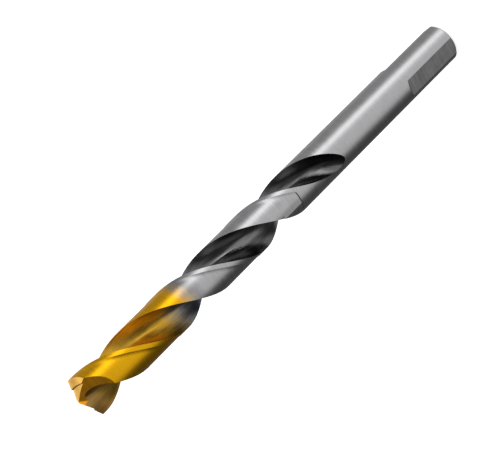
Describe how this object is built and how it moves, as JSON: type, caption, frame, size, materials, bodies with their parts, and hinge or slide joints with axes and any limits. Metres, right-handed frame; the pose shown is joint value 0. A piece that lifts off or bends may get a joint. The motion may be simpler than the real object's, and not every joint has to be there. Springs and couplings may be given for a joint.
{
  "type": "twist drill bit",
  "caption": "Twist drill with two right-hand helical flutes, a stepped split point with a gold coated end, and a round shank with flats for the chuck jaws.",
  "frame": {"origin": "centre of the flat end of the shank", "axes": "+Z along the drill's axis from the shank to the tip; one of the three drive flats faces -Y"},
  "size_m": [0.0114, 0.0114, 0.1419],
  "materials": {
    "shank_steel": "turned bright, fine marks around the axis",
    "body_steel": "ground bright, marks along the flutes",
    "gold_coating": "ground steel under a thin gold coloured nitride coating that fades into bare steel"
  },
  "bodies": {
    "root": {"shank": "shank_steel", "fluted_body": "body_steel", "coated_point": "gold_coating"}
  },
  "joints": []
}
